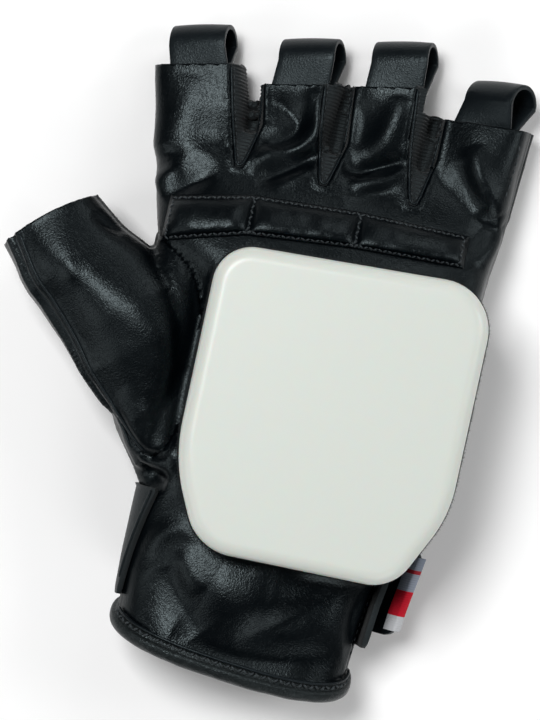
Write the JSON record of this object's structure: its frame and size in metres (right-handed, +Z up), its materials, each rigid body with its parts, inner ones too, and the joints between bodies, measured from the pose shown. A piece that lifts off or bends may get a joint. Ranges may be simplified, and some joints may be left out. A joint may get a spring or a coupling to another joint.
{
  "type": "roller skating slide glove",
  "caption": "Fingerless black leather skating glove with ribbed gussets, pull loops, a quilted pad, a wrist strap and a white plastic slider puck on its palm.",
  "frame": {"origin": "centre of the bounding box's underside, on the surface that the glove lies on, below the middle of the palm", "axes": "+Y along the hand from the wrist to the finger openings, +X across the hand to the little finger's side, +Z up, out of the palm and through the puck"},
  "size_m": [0.1606, 0.217, 0.0564],
  "materials": {
    "leather": "black grained leather with a soft satin sheen",
    "leather_back": "black grained leather, the back of the hand",
    "leather_pad": "black grained leather, quilted over foam",
    "leather_hem": "soft black leather binding",
    "ribbed_gusset": "black ribbed woven fabric",
    "loop_band": "smooth black band, slightly lighter along its edges",
    "strap": "black woven strap with a matt face",
    "fastener": "black hook and loop fastener",
    "ribbon": "ribbon with plain pale, red and pale stripes",
    "puck": "white plastic, faintly greenish, satin"
  },
  "bodies": {
    "root": {"back_panel": "leather_back", "cuff_hem": "leather_hem", "gusset_index_middle": "ribbed_gusset", "gusset_middle_ring": "ribbed_gusset", "gusset_ring_little": "ribbed_gusset", "hook_patch": "fastener", "loop_patch": "fastener", "palm_panel": "leather", "puck": "puck", "pull_loop_index": "loop_band", "pull_loop_little": "loop_band", "pull_loop_middle": "loop_band", "pull_loop_ring": "loop_band", "quilted_pad": "leather_pad", "ribbon_label": "ribbon", "strap_tab": "strap", "thumb_back": "leather_back", "thumb_front": "leather", "wrist_strap": "strap"}
  },
  "joints": []
}
